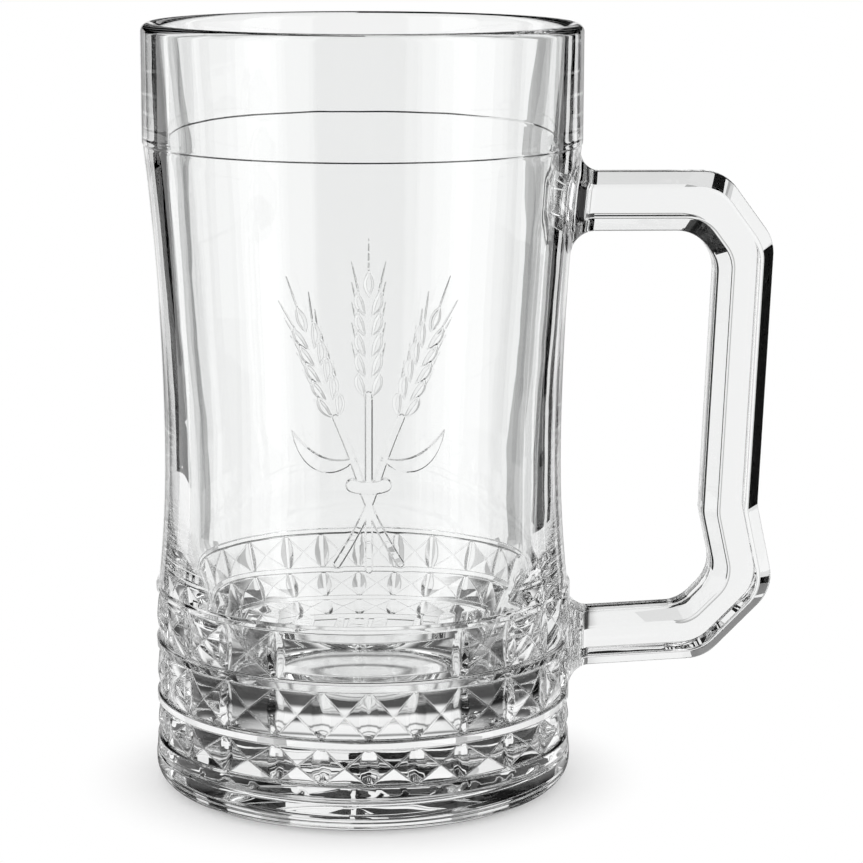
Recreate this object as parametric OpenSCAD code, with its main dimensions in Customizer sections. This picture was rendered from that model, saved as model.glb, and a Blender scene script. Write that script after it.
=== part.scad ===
// Pressed glass beer mug: a waisted bowl with a band of diamonds, and a bevelled bar handle.
// The mug stands on z = 0 with its axis on Z. The handle points to +X and the plain panel to -Y.

/* [Bowl] */
// Overall height
mug_h = 155; // [146:1:170]
// Outside diameter of the straight band at the rim
rim_d = 88.2; // [85:0.1:94]
// Thickness of the wall at the rim
rim_wall = 3.4; // [2.6:0.1:4.4]
// Height of the straight band at the rim
rim_band_h = 24.5; // [18:0.5:28]
// Step from the rim band in to the body
rim_step = 0.25; // [0.1:0.05:1.2]
// Outside diameter at the waist
waist_d = 80.7; // [78:0.1:83]
// Height of the waist
waist_z = 69; // [60:1:80]
// Outside diameter where the body meets the band of diamonds
shoulder_d = 83.8; // [83.4:0.1:86]
// Thickness of the wall at the waist
waist_wall = 4.45; // [3.5:0.05:6]
// Height where the wall inside begins to round in
cup_z = 54; // [48:0.5:58]
// Diameter of the flat floor inside
floor_d = 36; // [28:0.5:44]
// Height of the inside floor
floor_z = 14; // [10:0.5:20]

/* [Foot] */
// Height of the plain foot
foot_h = 7.2; // [6:0.1:9]
// Outside diameter of the foot
foot_d = 85.4; // [85:0.1:88]
// Radius of the rounded heel
heel_r = 4.7; // [2:0.1:5.5]
// Width of the flat ring that stands on the table
stand_w = 5; // [3:0.5:8]
// Depth of the hollow inside that ring
punt_h = 1.2; // [0.5:0.1:4]
// Height of the sloping rib between the foot and the diamonds
foot_rib_h = 2.6; // [1.5:0.1:4]

/* [Diamond band] */
// Diameter over the ribs and the tips of the diamonds
band_d = 84.9; // [84.4:0.1:85.4]
// Height of a diamond above the valleys between it and its neighbours
diamond_h = 0.9; // [0.4:0.05:1.2]
// Height of the plain panel above those valleys
panel_h = 0.4; // [0.1:0.05:0.6]
// Height of the lower row of diamonds
lower_row_h = 7.7; // [6:0.1:9]
// Height of the middle row of diamonds
middle_row_h = 10; // [8:0.1:12]
// Height of the upper row of diamonds
upper_row_h = 10.2; // [8:0.1:12]
// Height of the rib between two rows
rib_h = 1.4; // [0.8:0.1:2]
// Angle that the plain panel at the front takes up
panel_deg = 51.4; // [40:0.2:64]
// Diamonds in the width of that panel
panel_cells = 4; // [2:1:6]
// Diamonds along each side, between the front and the back
side_cells = 8; // [6:2:10]

/* [Handle] */
// Thickness of the bar, seen from the front
bar_t = 11.9; // [10:0.1:14]
// Depth of the bar, from front to back
bar_w = 13; // [10:0.1:16]
// Size of the bevels along the bar
bar_bevel = 3; // [1.5:0.1:4]
// Radius of the bar's centre line in its bends
bend_r = 7.4; // [7.2:0.1:8.6]
// Clear room for the fingers between the waist and the knee of the grip
finger_room = 28.9; // [25:0.1:34]
// Height of the upper bar's centre line
upper_bar_z = 119.4; // [112:0.2:122]
// Width of the sloping upper corner
corner_w = 7.4; // [6.4:0.1:11]
// Drop of the sloping upper corner
corner_h = 10; // [9:0.1:13]
// How far the grip leans in from its top to its knee
grip_lean = 2.1; // [0:0.1:5]
// Height of the knee
knee_z = 56; // [52:0.5:64]
// How far the toe stands out from the knee
toe_out = 3.3; // [1:0.1:6]
// Height of the toe
toe_z = 40.7; // [39:0.1:44]
// Width of the sloping lower corner
toe_w = 10.5; // [9:0.1:12]
// Height of the lower bar's centre line at its outer end
lower_bar_z = 30; // [27:0.1:31]
// Fall of the lower bar towards the bowl
lower_bar_fall = 1.7; // [0:0.1:3]
// Radius of the flared roots
root_r = 4.6; // [2:0.1:6]
// Height of the plain field round the lower root above the ribs
root_field_h = 0.2; // [0.1:0.05:0.5]

/* [Hidden] */
$fn = 96;

glass = [0.86, 0.90, 0.90];

// Steps along each curved stretch of an outline
curve_steps = 12;
// How far one shape runs into another that it joins
overlap = 1;
// Thickness of the slices that a flare is stretched between
slice = 0.01;
// How far a straight stretch of the bar runs into the bend at its end
joint = 0.05;
// Two angles closer than this are the same
same_deg = 0.01;

rim_r = rim_d / 2;
waist_r = waist_d / 2;
shoulder_r = shoulder_d / 2;
floor_r = floor_d / 2;
foot_r = foot_d / 2;
band_r = band_d / 2;
valley_r = band_r - diamond_h;
stand_out_r = foot_r - heel_r;
stand_in_r = stand_out_r - stand_w;
neck_r = waist_r - waist_wall;
lip_r = rim_wall / 2;
lip_z = mug_h - lip_r;
step_z = mug_h - rim_band_h;

lower_row_z = foot_h + foot_rib_h;
middle_row_z = lower_row_z + lower_row_h + rib_h;
upper_row_z = middle_row_z + middle_row_h + rib_h;
shoulder_z = upper_row_z + upper_row_h + rib_h;

// Sideways move, at the height h, of a curve that leaves a vertical tangent and moves by dr over a height dz
function sweep(dr, dz, h) = dr * pow(h / dz, 2);

upper_flare = rim_r - rim_step - waist_r;
lower_flare = shoulder_r - waist_r;
upper_h = step_z - waist_z;
lower_h = waist_z - shoulder_z;

// Outside radius of the smooth body at the height z
function body_r(z) = waist_r + (z > waist_z
    ? sweep(upper_flare, upper_h, z - waist_z)
    : sweep(lower_flare, lower_h, waist_z - z));

// A point on a circle
function on_circle(r, a) = [r * cos(a), r * sin(a)];

// Heights from one end of a curved stretch to the other
function stretch(from, to) = [for (i = [0 : curve_steps]) from + (to - from) * i / curve_steps];

function heel() = [for (a = stretch(-90, 0)) [stand_out_r, heel_r] + on_circle(heel_r, a)];

// The valleys round one row, between the ribs under and over it
function row_valley(z, h) = [[band_r, z], [valley_r, z], [valley_r, z + h], [band_r, z + h]];

function foot_and_band() = concat(
    [[foot_r, foot_h]],
    row_valley(lower_row_z, lower_row_h),
    row_valley(middle_row_z, middle_row_h),
    row_valley(upper_row_z, upper_row_h),
    [[band_r, shoulder_z - rib_h / 2]]
);

function body() = [for (z = stretch(shoulder_z, step_z)) [body_r(z), z]];

function lip() = [for (a = stretch(0, 180)) [rim_r - lip_r, lip_z] + on_circle(lip_r, a)];

function outside() = concat(
    heel(),
    foot_and_band(),
    body(),
    [[rim_r, step_z + 2 * rim_step]],
    lip()
);

// The inside: a sloping wall down to the waist, an upright one below it, and a round cup
function cup_point(a) = [
    floor_r + (neck_r - floor_r) * cos(a),
    cup_z - (cup_z - floor_z) * sin(a)
];

function inside() = concat(
    [[neck_r, waist_z]],
    [for (a = stretch(0, 90)) cup_point(a)],
    [[0, floor_z]]
);

function punt() = [for (r = stretch(0, stand_in_r)) [r, punt_h - sweep(punt_h, stand_in_r, r)]];

// The diamonds: each cell is [start angle, width], counted round the band
panel_cell_deg = panel_deg / panel_cells;
side_cell_deg = (180 - panel_deg) / side_cells;
front_deg = -90 - panel_deg / 2;

// Angle that a bevel at the edge of a plain panel takes up
bevel_deg = 1.5;
// Angle between two points along a plain panel
panel_step_deg = 3;

function cells_from(start, width, count) = [for (i = [0 : count - 1]) [start + i * width, width]];

function half_round(start) = concat(
    cells_from(start, panel_cell_deg, panel_cells),
    cells_from(start + panel_deg, side_cell_deg, side_cells)
);

cells = concat(half_round(front_deg), half_round(front_deg + 180));

// A plain panel takes the place of the cells inside its limits, at its height above the valleys
front_panel = [front_deg, front_deg + panel_deg, panel_h];
root_panel = [-side_cell_deg, side_cell_deg, 0];

function middle(cell) = cell[0] + cell[1] / 2;

function is_within(angle, panel) = angle > panel[0] && angle < panel[1];

function is_plain(cell, panels) = len([for (p = panels) if (is_within(middle(cell), p)) p]) > 0;

function plain_outline(panel) = concat(
    [on_circle(valley_r, panel[0])],
    [
        for (a = [panel[0] + bevel_deg : panel_step_deg : panel[1] - bevel_deg])
            on_circle(valley_r + panel[2], a)
    ],
    [on_circle(valley_r + panel[2], panel[1] - bevel_deg)]
);

function starts_panel(cell, panels) = [for (p = panels) if (abs(cell[0] - p[0]) < same_deg) p];

function cell_outline(cell, panels) = is_plain(cell, panels)
    ? (len(starts_panel(cell, panels)) > 0 ? plain_outline(starts_panel(cell, panels)[0]) : [])
    : [on_circle(valley_r, cell[0]), on_circle(band_r, middle(cell))];

// One row: a ring with a roof-shaped section, cut to a star so that each cell has four facets
module diamond_row(z, h, panels) {
    intersection() {
        rotate_extrude()
            polygon([
                [valley_r - overlap, z],
                [valley_r, z],
                [band_r, z + h / 2],
                [valley_r, z + h],
                [valley_r - overlap, z + h]
            ]);
        translate([0, 0, z - overlap])
            linear_extrude(h + 2 * overlap)
                polygon([for (cell = cells) each cell_outline(cell, panels)]);
    }
}

// The plain field that the handle's lower root stands on runs out over the ribs and cells round it
field_r = band_r + root_field_h;
// Room on the plain field at each side of the root
field_margin = 0.9;
field_deg = asin((bar_w / 2 + root_r + field_margin) / band_r);
// How much of the rib over the upper row the plain field covers
field_rib_share = 0.25;
field_high = upper_row_z + upper_row_h + rib_h * field_rib_share;

module root_field() {
    rotate([0, 0, -field_deg])
        rotate_extrude(angle = 2 * field_deg)
            translate([valley_r - overlap, field_low])
                square([field_r - valley_r + overlap, field_high - field_low]);
}

module diamonds() {
    root_field();
    diamond_row(lower_row_z, lower_row_h, []);
    diamond_row(middle_row_z, middle_row_h, [root_panel]);
    diamond_row(upper_row_z, upper_row_h, [front_panel, root_panel]);
}

module bowl() {
    color(glass) {
        rotate_extrude() polygon(concat(punt(), outside(), inside()));
        diamonds();
    }
}

// The bowl without its hollow, which the roots of the handle are cut to
module bowl_outside() {
    rotate_extrude() polygon(concat([[0, 0]], outside(), [[0, mug_h]]));
    diamonds();
}

// Centre line of the handle in the XZ plane, from the upper root to the lower root
root_x = waist_r - root_r;
knee_x = waist_r + finger_room + bar_t / 2;
grip_top = [knee_x + grip_lean, upper_bar_z - corner_h];
toe = [knee_x + toe_out, toe_z];
path = [
    [root_x, upper_bar_z],
    [grip_top[0] - corner_w, upper_bar_z],
    grip_top,
    [knee_x, knee_z],
    toe,
    [toe[0] - toe_w, lower_bar_z],
    [root_x, lower_bar_z - lower_bar_fall]
];
last = len(path) - 1;

// Angle of the centre line's stretch that leaves point i
function heading(i) = atan2(path[i + 1][1] - path[i][1], path[i + 1][0] - path[i][0]);

// Turn at point i, from -180 to 180
function turn(i) = (heading(i) - heading(i - 1) + 540) % 360 - 180;

// Length that the bend at point i takes off each stretch that meets there
function cut_back(i) = i == 0 || i == last ? 0 : bend_r * tan(abs(turn(i)) / 2);

function stretch_length(i) = norm(path[i + 1] - path[i]) - cut_back(i) - cut_back(i + 1);

// Section of the bar, grown by g on every side
module bar_section(g = 0) {
    t = bar_t / 2 + g;
    w = bar_w / 2 + g;
    c = bar_bevel + g * (2 - sqrt(2));
    polygon([
        [t - c, -w], [t, c - w], [t, w - c], [t - c, w],
        [c - t, w], [-t, w - c], [-t, c - w], [c - t, -w]
    ]);
}

// Moves children from the Z axis to the point p, heading along the angle a in the XZ plane
module along(p, a) {
    translate([p[0], 0, p[1]]) rotate([0, 90 - a, 0]) children();
}

module straight(i) {
    start = path[i] + on_circle(cut_back(i) - joint, heading(i));
    along(start, heading(i)) linear_extrude(stretch_length(i) + 2 * joint) bar_section();
}

module bend(i) {
    side = sign(turn(i));
    start = path[i] - on_circle(cut_back(i), heading(i - 1));
    centre = start + on_circle(bend_r, heading(i - 1) + 90 * side);
    from = side < 0 ? heading(i) + 90 : heading(i - 1) - 90;
    translate([centre[0], 0, centre[1]])
        rotate([90, 0, 0])
            rotate([0, 0, from])
                rotate_extrude(angle = abs(turn(i)))
                    translate([bend_r, 0]) bar_section();
}

// A flared root on the plane z = 0, with the bar leaving it along Z
flare_steps = 3;

function flare_height(i) = root_r * (1 - cos(90 * i / flare_steps));

function flare_growth(i) = root_r * (1 - sin(90 * i / flare_steps));

module flare() {
    for (i = [0 : flare_steps - 1])
        hull() {
            translate([0, 0, flare_height(i)])
                linear_extrude(slice) bar_section(flare_growth(i));
            translate([0, 0, flare_height(i + 1)])
                linear_extrude(slice) bar_section(flare_growth(i + 1));
        }
    translate([0, 0, -root_r]) linear_extrude(root_r + slice) bar_section(root_r);
}

upper_root = [body_r(upper_bar_z), upper_bar_z];
lower_root_run = (field_r - root_x) / cos(heading(last - 1) - 180);
lower_root = path[last] - on_circle(lower_root_run, heading(last - 1));

// Room on the plain field under the lower root
field_under = 0.4;
field_low = lower_root[1] - bar_t / 2 - root_r - field_under;

module handle() {
    color(glass)
        difference() {
            union() {
                for (i = [0 : last - 1]) straight(i);
                for (i = [1 : last - 1]) bend(i);
                along(upper_root, heading(0)) flare();
                along(lower_root, heading(last - 1) + 180) flare();
            }
            bowl_outside();
        }
}

bowl();
handle();
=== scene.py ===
"""Looks of a pressed glass beer mug: bowl with a band of diamonds, and a bevelled bar handle."""

import math

import bmesh
import bpy
import numpy as np
from mathutils import Matrix, Vector
from mathutils.geometry import delaunay_2d_cdt


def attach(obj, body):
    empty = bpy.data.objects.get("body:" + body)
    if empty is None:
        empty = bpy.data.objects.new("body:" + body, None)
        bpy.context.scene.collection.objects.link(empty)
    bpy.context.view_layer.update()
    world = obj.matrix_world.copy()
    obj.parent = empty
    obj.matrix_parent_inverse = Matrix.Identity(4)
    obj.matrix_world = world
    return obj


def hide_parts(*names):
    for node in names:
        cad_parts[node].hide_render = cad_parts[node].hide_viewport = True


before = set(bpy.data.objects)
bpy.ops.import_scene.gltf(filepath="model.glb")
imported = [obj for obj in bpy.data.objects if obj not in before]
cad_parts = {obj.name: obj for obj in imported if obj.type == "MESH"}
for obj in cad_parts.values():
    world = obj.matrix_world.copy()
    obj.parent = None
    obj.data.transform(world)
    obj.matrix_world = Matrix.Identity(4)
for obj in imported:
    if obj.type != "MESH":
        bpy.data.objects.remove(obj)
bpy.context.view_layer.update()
scene = bpy.context.scene

# Sizes of the mug in millimetres, as in the part's source
MM = 0.001
MUG_H = 155.0
RIM_R = 44.1
RIM_WALL = 3.4
RIM_STEP = 0.25
STEP_Z = 130.5
WAIST_R = 40.35
WAIST_Z = 69.0
SHOULDER_R = 41.9
WAIST_WALL = 4.45
CUP_Z = 54.0
FLOOR_R = 18.0
FLOOR_Z = 14.0
FOOT_H = 7.2
FOOT_R = 42.7
HEEL_R = 4.7
STAND_W = 5.0
PUNT_H = 1.2
BAND_R = 42.45
DIAMOND_H = 0.9
PANEL_H = 0.4
FOOT_RIB = 2.6
RIB = 1.4
ROW_HEIGHTS = (7.7, 10.0, 10.2)
PANEL_DEG = 51.4
PANEL_CELLS = 4
SIDE_CELLS = 8
FRONT_DEG = -90.0

BAR_T = 11.9
BAR_W = 13.0
BAR_BEVEL = 3.0
FINGER_ROOM = 28.9
UPPER_BAR_Z = 119.4
CORNER_W = 7.4
CORNER_H = 10.0
GRIP_LEAN = 2.1
KNEE_Z = 56.0
TOE_OUT = 3.3
TOE_Z = 40.7
TOE_W = 10.5
LOWER_BAR_Z = 30.0
LOWER_BAR_FALL = 1.7
ROOT_R = 4.6

# Finer form of the bar, its bends and its roots, which only the looks have
EDGE_R = 1.1
SIDE_EDGE_R = 2.0
OUTER_BEVEL_W = 5.2
BEND_OUT_R = 8.5
BEND_IN_R = 7.5
LOWER_ROOT_R = 4.3
ROOT_STRAIGHT = 1.2

# Finer form of the cells: lens-shaped cuts, hips of the diamonds, and how far their edges are rounded
SEPARATOR = 0.33
LENS_DEPTH = 0.5
LENS_SLOPE = 0.55
LENS_REACH = 0.2
STRIP_REACH = 0.15
RIB_SLOPE = 2.2
RIB_REACH = 0.12
HIP_REACH = 0.2
HIP_H = 0.09
HIP_TOP, HIP_FOOT = 0.1, 0.24
HIP_END = 0.9
PANEL_BEVEL = 1.8
PANEL_LENS_HALF = 6.0
PANEL_LENS_MIN, PANEL_LENS_MAX = 0.05, 4.0

# Rounded edges of the bowl's outline: points as (out, up) from a corner of its plain form
PUNT_EDGE = 1.0
STAND_EDGE = ((-0.3, 0.06), (0.3, 0.0), (1.5, 0.0))
STAND_FLAT = 0.5
FOOT_EDGE = ((0.0, -1.0), (-0.06, -0.6), (-0.2, -0.3), (-0.32, 0.0), (-0.2, 0.3), (-0.18, 0.6))
SHOULDER_EDGE = ((0.0, 0.0), (-0.08, 0.2), (-0.45, 0.55))
SHOULDER_NORMALS = ((1.0, 0.0), (0.85, 0.5), (0.85, 0.5), (0.99, 0.1))
SHOULDER_SLOPE = 0.15
STEP_EDGE = ((-0.26, 0.3), (-0.25, 0.5), (-0.23, 0.6), (-0.04, 0.86), (-0.01, 1.0), (0.0, 1.3))
RIM_LOW = STEP_Z + 3.5
NECK_BLEND = 0.5

# The body's grid, with a gap for the upper root and one for the relief
ROOT_COLUMNS = 9
ROOT_LOW, ROOT_HIGH = 107.0, 130.4
RELIEF_LOW, RELIEF_HIGH = 48.0, 122.0

# Steps of the meshes, in counts, millimetres or degrees
CELL_COLUMNS = 8
CELL_ROWS = 12
LENS_STEPS = 24
STRIP_STRIDE = 3
HIP_STEPS = 5
PANEL_STEPS = 6
PANEL_INSET = 3
PANEL_DOTS = 4
LOWER_DOTS, LOWER_INSET, LOWER_MARGIN = 20, 0.8, 0.5
UPPER_DOTS, UPPER_MARGIN = 18, 0.6
BODY_STEP = 2.0
PUNT_STEPS = 16
HEEL_STEPS = 16
RIM_STEPS = 5
LIP_STEPS = 24
WALL_STEPS = 34
CUP_STEPS = 28
FLOOR_STEPS = 8
FLAT_STEPS = 4
EDGE_STEPS = 7
ROOT_STEPS = 10
BAR_STEP = 3.0
BEND_STEPS = 6
BEND_STEP_DEG = 3

# Limits of accuracy, in millimetres unless said
TOLERANCE = 1e-6
WELD_REACH = 0.004
SLIVER_M = 1e-8
FILL_EPSILON = 1e-4
NO_AREA = 1e-9
NORMAL_STEP = 0.004
SLOPE_STEP = 0.01
SURFACE_ROUNDS = 3

# Material slots of both pieces
GLASS_SLOT, JOINT_SLOT = 0, 1

# What follows from the sizes
STAND_OUT_R = FOOT_R - HEEL_R
STAND_IN_R = STAND_OUT_R - STAND_W
LIP_R = RIM_WALL / 2
LIP_Z = MUG_H - LIP_R
BORE_R = RIM_R - RIM_WALL
NECK_R = WAIST_R - WAIST_WALL
TOP_ROW = len(ROW_HEIGHTS) - 1
ROW_Z = [FOOT_H + FOOT_RIB]
for row_height in ROW_HEIGHTS[:TOP_ROW]:
    ROW_Z.append(ROW_Z[-1] + row_height + RIB)
SHOULDER_Z = ROW_Z[TOP_ROW] + ROW_HEIGHTS[TOP_ROW] + RIB
BAND_LOW = FOOT_H + FOOT_RIB / 2
BAND_HIGH = SHOULDER_Z - RIB / 2
SIDE_DEG = (180 - PANEL_DEG) / SIDE_CELLS
SIDE_HALF = math.radians(SIDE_DEG)
RIB_SIDE = DIAMOND_H / RIB_SLOPE
RIB_LINES = (-RIB_SIDE - RIB_REACH, -RIB_SIDE, -RIB_REACH, 0, RIB_REACH)
PANEL_COLUMNS = PANEL_CELLS * CELL_COLUMNS


def smooth_min(a, b, k):
    """The lower of two heights, rounded where they are closer than k."""
    return np.minimum(a, b) - np.maximum(k - np.abs(a - b), 0) ** 2 / (4 * k)


def smooth_max(a, b, k):
    return -smooth_min(-a, -b, k)


def ease(share):
    """A soft step from 0 to 1."""
    part = np.clip(share, 0, 1)
    return part * part * (3 - 2 * part)


def spread(low, high, steps):
    return np.linspace(low, high, steps + 1)


def turn(r, z, theta):
    """Points or normals at a radius and a height, turned round the bowl's axis."""
    return np.stack([r * np.cos(theta), r * np.sin(theta), z + 0 * theta], -1)


def body_r(z):
    """Outside radius of the smooth body."""
    up = (RIM_R - RIM_STEP - WAIST_R) * ((z - WAIST_Z) / (STEP_Z - WAIST_Z)) ** 2
    down = (SHOULDER_R - WAIST_R) * ((WAIST_Z - z) / (WAIST_Z - SHOULDER_Z)) ** 2
    return WAIST_R + np.where(z > WAIST_Z, up, down)


def inner_r(z):
    """Inside radius of the wall, down to the round cup at the bottom."""
    slope = NECK_R + (BORE_R - NECK_R) * (z - WAIST_Z) / (LIP_Z - WAIST_Z)
    return smooth_max(slope, NECK_R + 0 * z, NECK_BLEND)


class Mesh:
    """Gathers points, their normals and faces in millimetres, and welds them into one object."""

    def __init__(self):
        self.points = []
        self.normals = []
        self.faces = []
        self.slots = []

    def add(self, points, normals):
        start = len(self.points)
        self.points.extend(map(tuple, points))
        self.normals.extend(map(tuple, normals))
        return start

    def face(self, corners, slot=GLASS_SLOT):
        self.faces.append(tuple(int(c) for c in corners))
        self.slots.append(slot)

    def weld(self, name, materials):
        mesh = bpy.data.meshes.new(name)
        mesh.from_pydata([[c * MM for c in p] for p in self.points], [], self.faces)
        mesh.polygons.foreach_set("material_index", self.slots)
        mesh.polygons.foreach_set("use_smooth", [True] * len(self.faces))
        bm = bmesh.new()
        bm.from_mesh(mesh)
        layer = bm.verts.layers.float_vector.new("way_out")
        for vert, normal in zip(bm.verts, self.normals):
            vert[layer] = normal
        bmesh.ops.remove_doubles(bm, verts=bm.verts, dist=WELD_REACH * MM)
        bmesh.ops.dissolve_degenerate(bm, edges=bm.edges, dist=SLIVER_M)
        loose = [v for v in bm.verts if not v.link_faces]
        bmesh.ops.delete(bm, geom=loose, context="VERTS")
        bm.to_mesh(mesh)
        bm.free()
        normals = np.zeros(len(mesh.vertices) * 3, np.float32)
        mesh.attributes["way_out"].data.foreach_get("vector", normals)
        mesh.attributes.remove(mesh.attributes["way_out"])
        mesh.normals_split_custom_set_from_vertices(normals.reshape(-1, 3).tolist())
        for material in materials:
            mesh.materials.append(material)
        obj = bpy.data.objects.new(name, mesh)
        scene.collection.objects.link(obj)
        return obj


class Sheet:
    """Lines and dots drawn on a flat field, filled with triangles."""

    def __init__(self):
        self.points = []
        self.edges = []

    def dots(self, points):
        self.points.extend(Vector((float(x), float(y))) for x, y in points)

    def line(self, points):
        start = len(self.points)
        self.dots(points)
        self.edges.extend((i, i + 1) for i in range(start, len(self.points) - 1))

    def box(self, xs, ys):
        """The four sides of a box, with points at the given places along them."""
        for y in (ys[0], ys[-1]):
            self.line([(x, y) for x in xs])
        for x in (xs[0], xs[-1]):
            self.line([(x, y) for y in ys])

    def fill(self):
        """Points and triangles of the field, each turned to face up from it."""
        found = delaunay_2d_cdt(self.points, self.edges, [], 0, FILL_EPSILON)
        points = np.array([tuple(v) for v in found[0]])
        faces = []
        for corners in map(list, found[2]):
            p, q, r = points[corners[:3]]
            area = (q[0] - p[0]) * (r[1] - p[1]) - (q[1] - p[1]) * (r[0] - p[0])
            if abs(area) > NO_AREA:
                faces.append(corners if area > 0 else corners[::-1])
        return points, faces


def band_cells():
    """Cells round the band, as (middle angle, half width), and the angles of their columns, in radians."""
    found, angles = [], []
    front = FRONT_DEG - PANEL_DEG / 2
    for start in (front, front + 180):
        runs = (
            (PANEL_CELLS, PANEL_DEG / PANEL_CELLS, start),
            (SIDE_CELLS, SIDE_DEG, start + PANEL_DEG),
        )
        for count, width, begin in runs:
            for i in range(count):
                edge = begin + i * width
                found.append((math.radians(edge + width / 2), math.radians(width / 2)))
                angles.extend(math.radians(edge + width * j / CELL_COLUMNS) for j in range(CELL_COLUMNS))
    return found, np.array(angles)


CELLS, COLUMNS = band_cells()
# The plain field that the lower root stands on takes these cells of the middle and upper rows
ROOT_CELLS = {
    i
    for i, (middle, _) in enumerate(CELLS)
    if abs(math.remainder(middle, math.tau)) < SIDE_HALF
}


def revolve(mesh, outline, normals):
    """Faces all round between the points of an outline. A first or last point on the axis closes it."""
    count = len(COLUMNS)
    rings = []
    for (r, z), (nr, nz) in zip(outline, normals):
        if r < TOLERANCE:
            rings.append([mesh.add([(0, 0, z)], [(0, 0, nz)])] * count)
            continue
        start = mesh.add(turn(r, z, COLUMNS), turn(nr, nz, COLUMNS))
        rings.append(list(range(start, start + count)))
    for low, high in zip(rings, rings[1:]):
        for j in range(count):
            k = (j + 1) % count
            corners = [low[j], low[k], high[k], high[j]]
            mesh.face(dict.fromkeys(corners))


def lay(mesh, field, height, middle, z0, base=BAND_R, slot=GLASS_SLOT):
    """Lays a filled field on the bowl: height(x, y) stands above the base radius."""
    points, faces = field
    x, y = points[:, 0], points[:, 1]

    def place(x, y):
        return turn(base + height(x, y), z0 + y, middle + x / base)

    along = place(x + NORMAL_STEP, y) - place(x - NORMAL_STEP, y)
    up = place(x, y + NORMAL_STEP) - place(x, y - NORMAL_STEP)
    normals = np.cross(along, up)
    normals /= np.linalg.norm(normals, axis=1)[:, None]
    start = mesh.add(place(x, y), normals)
    for corners in faces:
        mesh.face([start + i for i in corners], slot)


# The band: heights of a cell down from the level of the ribs, x along it and y up from its row's middle


def lens_cut(s, v):
    """The cut beside an upright separator, s from its middle and v from -1 to 1 up the row."""
    rise = smooth_max(LENS_SLOPE * (s - SEPARATOR), 0 * s, 2 * LENS_SLOPE * STRIP_REACH)
    return rise - DIAMOND_H - LENS_DEPTH * np.maximum(1 - v * v, 0)


def between(top, s, y, b):
    """A cell's own height, cut at its sides, between the ribs under and over its row."""
    cell = smooth_min(top, lens_cut(s, y / b), LENS_SLOPE * LENS_REACH)
    rib = smooth_min(RIB_SLOPE * (np.abs(y) - b), 0 * y, RIB_SLOPE * RIB_REACH)
    return smooth_max(cell, rib, RIB_SLOPE * RIB_REACH)


def diamond(x, y, a, b):
    """Four slopes up to a point, with a fine raised hip between each two."""
    steepness = math.hypot(1 / a, 1 / b)
    sides = -DIAMOND_H * np.abs(x) / a, -DIAMOND_H * np.abs(y) / b
    top = smooth_min(*sides, HIP_REACH * DIAMOND_H * steepness)
    away = np.abs(np.abs(x) / a - np.abs(y) / b) / steepness
    top = top + HIP_H * ease((HIP_FOOT - away) / (HIP_FOOT - HIP_TOP))
    return between(top, a - np.abs(x), y, b)


def panel(x, y, a, b):
    """A flat top with bevelled edges."""
    rise = PANEL_H / PANEL_BEVEL
    s = a - np.abs(x)
    top = smooth_min(rise * s, rise * (b - np.abs(y)), 2 * rise * HIP_REACH)
    top = smooth_min(top, PANEL_H + 0 * x, 2 * rise * HIP_REACH)
    return between(top - DIAMOND_H, s, y, b)


def lens_width(v, a):
    """How far the cut reaches from the separator's middle."""
    depth = LENS_DEPTH * (1 - v * v)
    side = (depth + LENS_SLOPE * SEPARATOR) / (LENS_SLOPE - DIAMOND_H / a)
    end = SEPARATOR + (DIAMOND_H * (1 - np.abs(v)) + depth) / LENS_SLOPE
    return np.minimum(side, end)


def panel_lens_width(v):
    width = np.minimum(lens_width(v, PANEL_LENS_HALF), PANEL_LENS_MAX)
    return np.maximum(SEPARATOR + PANEL_LENS_MIN, width)


def row_sides(b):
    """Heights of the points along an upright edge of a cell, from the rib under it to the one over it."""
    ends = [b + shift for shift in RIB_LINES]
    return [*(-y for y in reversed(ends)), *spread(-b, b, CELL_ROWS)[1:-1], *ends]


def edge_lines(sheet, a, low, high, b, steps):
    """The edge of a cell's field, with the points that its neighbours share, and the ribs' lines."""
    across = spread(-a, a, steps)
    sheet.box(across, [low, *row_sides(b), high])
    for side in (-1, 1):
        for shift in RIB_LINES:
            sheet.line([(x, side * (b + shift)) for x in across])


def lens_lines(sheet, a, b, width):
    """The edges of the cuts at a cell's sides, and of the separators."""
    rows = spread(-1, 1, LENS_STEPS)
    for side in (-1, 1):
        for shift in (-LENS_REACH, 0, LENS_REACH):
            sheet.line([(side * (a - width(v) - shift), v * b) for v in rows])
        for shift in (-STRIP_REACH, 0, STRIP_REACH):
            sheet.line([(side * (a - SEPARATOR - shift), v * b) for v in rows[::STRIP_STRIDE]])


def diamond_field(a, b, low, high):
    """A diamond's field, with lines along its hips."""
    sheet = Sheet()
    edge_lines(sheet, a, low, high, b, CELL_COLUMNS)
    lens_lines(sheet, a, b, lambda v: lens_width(v, a))
    length = math.hypot(a, b)
    for sx in (-1, 1):
        for sy in (-1, 1):
            way = np.array([sx * a, sy * b])
            across = np.array([way[1], -way[0]]) / length
            sheet.line([way * t for t in spread(0, HIP_END, HIP_STEPS)])
            for shift in (HIP_TOP, (HIP_TOP + HIP_FOOT) / 2, HIP_FOOT):
                for off in (across * shift, -across * shift):
                    begin = max(-off[0] / way[0], -off[1] / way[1])
                    sheet.line([way * t + off for t in spread(begin, HIP_END, HIP_STEPS)])
    return sheet.fill()


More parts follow.
